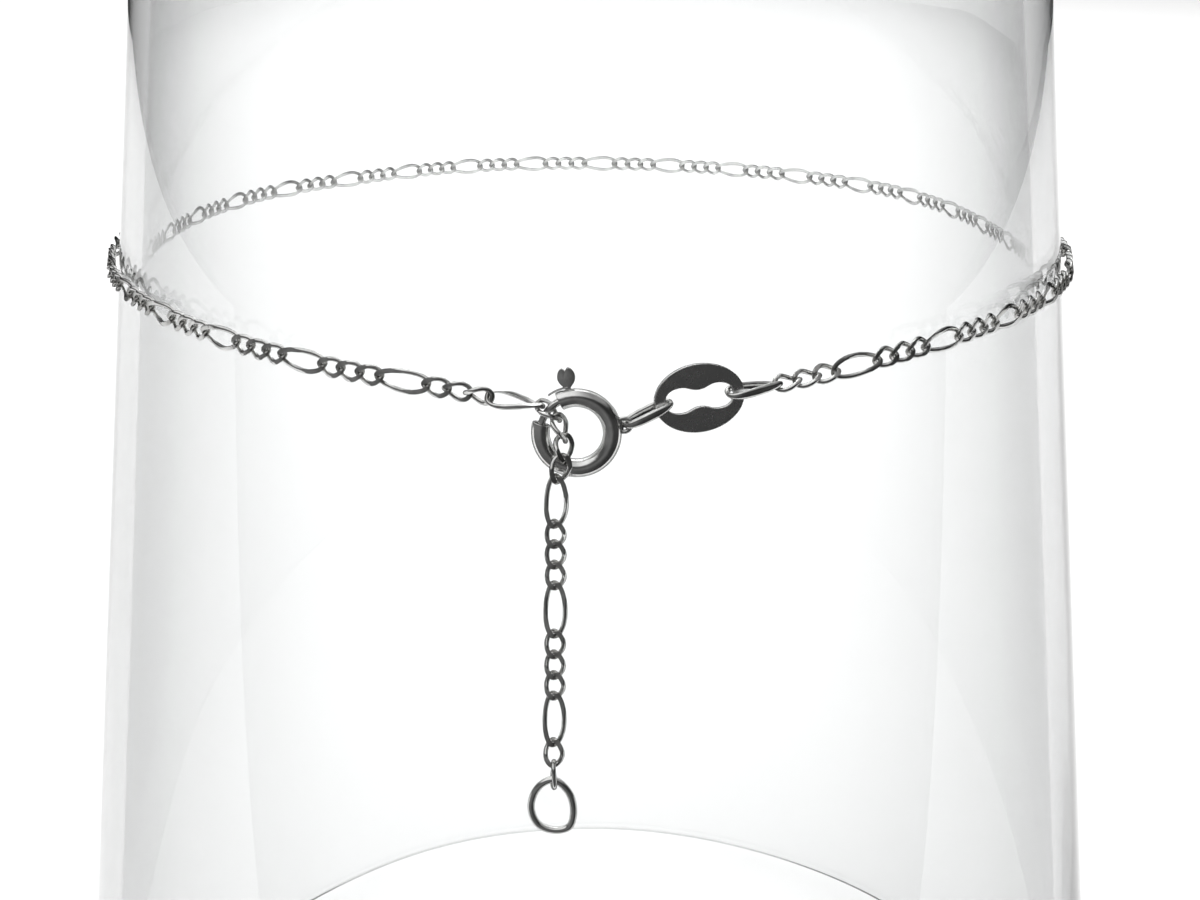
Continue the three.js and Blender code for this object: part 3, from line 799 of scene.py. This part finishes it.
def tag_object():
    L, E, W = TAG_SLOT_LONG / 2, TAG_SLOT_END / 2, TAG_SLOT_WAIST / 2
    quarter = [((-L, 0), (-L, E * 0.75), (-L + 0.45, E), (-L + 0.95, E)), ((-L + 0.95, E), (-0.62, E), (-0.5, W), (0, W))]
    top_left = np.vstack([bezier(*q, 20) for q in quarter])
    half = np.vstack([top_left, [[0, W]], (top_left * [-1, 1])[::-1]])  # from the left tip to the right one
    slot = np.vstack([half, (half * [1, -1])[::-1][1:-1]])
    n = 176
    # the slot's outline, read at even angles as the plate's rim is
    s = Path(np.hstack([np.vstack([slot, slot[:1]]), np.zeros((len(slot) + 1, 1))]))
    inner = np.array([s.at(s.length * k / n)[:2] for k in range(n)])
    ang = math.pi - np.arange(n) / n * 2 * math.pi
    outer = np.stack([TAG_LONG / 2 * np.cos(ang), TAG_HIGH / 2 * np.sin(ang)], 1)

    def offset(loop, d):
        t = np.roll(loop, -1, 0) - np.roll(loop, 1, 0)
        t /= np.linalg.norm(t, axis=1)[:, None]
        return loop + np.stack([-t[:, 1], t[:, 0]], 1) * d  # left of a clockwise loop is outwards

    h, e = TAG_THICK / 2, 0.055
    loops = []
    steps = [0, 0.25, 0.5, 0.75, 1.0]
    for t in steps:  # up from the wall to the face, outer edge
        a = t * math.pi / 2
        loops.append((offset(outer, -e * (1 - math.cos(a))), h - e + e * math.sin(a)))
    loops.append((offset(outer, -e - 0.05), h))
    for w in np.linspace(0.15, 0.85, 7):
        loops.append((offset(outer, -e - 0.05) * (1 - w) + offset(inner, e + 0.05) * w, h))
    loops.append((offset(inner, e + 0.05), h))
    for t in steps[::-1]:
        a = t * math.pi / 2
        loops.append((offset(inner, e * (1 - math.cos(a))), h - e + e * math.sin(a)))
    full = loops + [(l, -z) for l, z in loops[::-1]]
    v = np.vstack([np.hstack([l, np.full((n, 1), z)]) for l, z in full])
    f = grid_faces(len(full), n, True, True)
    o = make("blank_oval_tag", placed(tag_frame, v), f, sharp=24)
    clean(o)
    return o


tag = tag_object()
paint_tarnish_shade(tag, np.zeros(len(tag.data.vertices)))
finish_piece(tag, satin, "satin_silver", "root", "oval_tag")

eye_hold = clock_point(CLASP_R + TUBE_R + 0.23, EYE_AT)
a, b = at(clasp, eye_hold), at(tag_frame, (-TAG_HOLD, 0, 0))
single("link_clasp_to_tag", between(a, b, out_of_clasp), float(np.linalg.norm(b - a)), 1.4, -76, 0, "connecting_link", wire=0.3, flat=0, deep=0.8)
single("long_link_at_tag", between(tag_a, tag_b, on_glass(15.3 * DEG, -0.7, 0.7)[:3, 2]), LONG_IN + WIRE, LONG_WIDE, TAG_LINK_ROLL, -20, "tag_link", flat=0, deep=0.8)


# ---------- floor ----------
def floor_material():
    """Pale matt floor, the same for every ray."""
    m, nt, bsdf, out = nodes_of("floor")
    bsdf.inputs["Base Color"].default_value = (0.86, 0.86, 0.86, 1)
    bsdf.inputs["Roughness"].default_value = 0.9
    bsdf.inputs["Specular IOR Level"].default_value = 0.1
    return m


# the floor is a table that ends a little in front of the glass, with a dim room beyond
FLOOR_FRONT, FLOOR_BACK, FLOOR_HALF = 0.062, 1.3, 0.9
bm = bmesh.new()
bmesh.ops.create_grid(bm, x_segments=4, y_segments=4, size=1)
me = bpy.data.meshes.new("floor")
bm.to_mesh(me)
bm.free()
floor = bpy.data.objects.new("floor", me)
floor.location = (0, (FLOOR_BACK - FLOOR_FRONT) / 2, -0.00005)
floor.scale = (FLOOR_HALF, (FLOOR_BACK + FLOOR_FRONT) / 2, 1)
me.materials.append(floor_material())
bpy.context.scene.collection.objects.link(floor)


# ---------- light ----------
def lamp(name, kind, place, aim, energy, glossy=False, **more):
    data = bpy.data.lights.new(name, kind)
    data.energy = energy
    for k, v in more.items():
        setattr(data, k, v)
    o = bpy.data.objects.new(name, data)
    bpy.context.scene.collection.objects.link(o)
    o.location = place
    o.rotation_euler = (Vector(aim) - Vector(place)).to_track_quat("-Z", "Y").to_euler()
    o.visible_glossy = glossy
    return o


# a wide soft lamp over everything, and a strong one over the floor behind
lamp("sky", "SUN", (0, 0, 3), (0.1, 0.3, 0), 0.6, angle=70 * DEG)
lamp("back_softbox", "AREA", (-0.12, 0.65, 1.0), (-0.05, 0.6, 0), 9.5, shape="RECTANGLE", size=1.5, size_y=1.8, spread=110 * DEG)

world = bpy.data.worlds.new("studio")
bpy.context.scene.world = world
world.use_nodes = True
nt = world.node_tree
bg = nt.nodes["Background"]
tc = nt.nodes.new("ShaderNodeTexCoord")
sep = nt.nodes.new("ShaderNodeSeparateXYZ")
nt.links.new(tc.outputs["Generated"], sep.inputs[0])
height = nt.nodes.new("ShaderNodeMapRange")
for k, val in zip(("From Min", "From Max", "To Min", "To Max"), (-1, 1, 0, 1)):
    height.inputs[k].default_value = val
nt.links.new(sep.outputs["Z"], height.inputs["Value"])


def level(sin_el):
    return (sin_el + 1) / 2


front = ramp(nt, height.outputs[0], [
    (level(-0.5), 0.11), (level(-0.2), 0.14), (level(-0.05), 0.17), (level(0.1), 0.16), (level(0.3), 0.08), (level(0.5), 0.12), (level(0.68), 0.95),
])
back = ramp(nt, height.outputs[0], [
    (level(-0.3), 0.04), (level(0.0), 0.08), (level(0.4), 0.06), (level(0.62), 0.5), (level(0.8), 1.0), (level(0.95), 0.4),
])
where = nt.nodes.new("ShaderNodeMapRange")
where.interpolation_type = "SMOOTHSTEP"
for k, val in zip(("From Min", "From Max", "To Min", "To Max"), (-0.1, 0.5, 0, 1)):
    where.inputs[k].default_value = val
nt.links.new(sep.outputs["Y"], where.inputs["Value"])
mix = nt.nodes.new("ShaderNodeMix")
mix.data_type = "RGBA"
nt.links.new(where.outputs[0], mix.inputs[0])
nt.links.new(front, mix.inputs[6])
nt.links.new(back, mix.inputs[7])
# most of the light comes from the upper left
lean = nt.nodes.new("ShaderNodeMapRange")
lean.interpolation_type = "SMOOTHSTEP"
for k, val in zip(("From Min", "From Max", "To Min", "To Max"), (-0.25, 0.4, 1.0, 0.3)):
    lean.inputs[k].default_value = val
nt.links.new(sep.outputs["X"], lean.inputs["Value"])
dim = nt.nodes.new("ShaderNodeVectorMath")
dim.operation = "SCALE"
nt.links.new(mix.outputs[2], dim.inputs[0])
nt.links.new(lean.outputs[0], dim.inputs["Scale"])
# the backdrop is as pale as the floor, seen directly or through the glass
path = nt.nodes.new("ShaderNodeLightPath")
direct = nt.nodes.new("ShaderNodeMix")
direct.data_type = "RGBA"
direct.inputs[7].default_value = (1, 1, 1, 1)
looking = nt.nodes.new("ShaderNodeMath")
looking.operation = "MAXIMUM"
nt.links.new(path.outputs["Is Camera Ray"], looking.inputs[0])
nt.links.new(path.outputs["Is Transmission Ray"], looking.inputs[1])
nt.links.new(looking.outputs[0], direct.inputs[0])
nt.links.new(dim.outputs[0], direct.inputs[6])
nt.links.new(direct.outputs[2], bg.inputs["Color"])
bg.inputs["Strength"].default_value = 1.0

scene = bpy.context.scene
scene.view_settings.view_transform = "Standard"
scene.view_settings.look = "None"
scene.view_settings.exposure = 0.0
scene.view_settings.gamma = 1.0
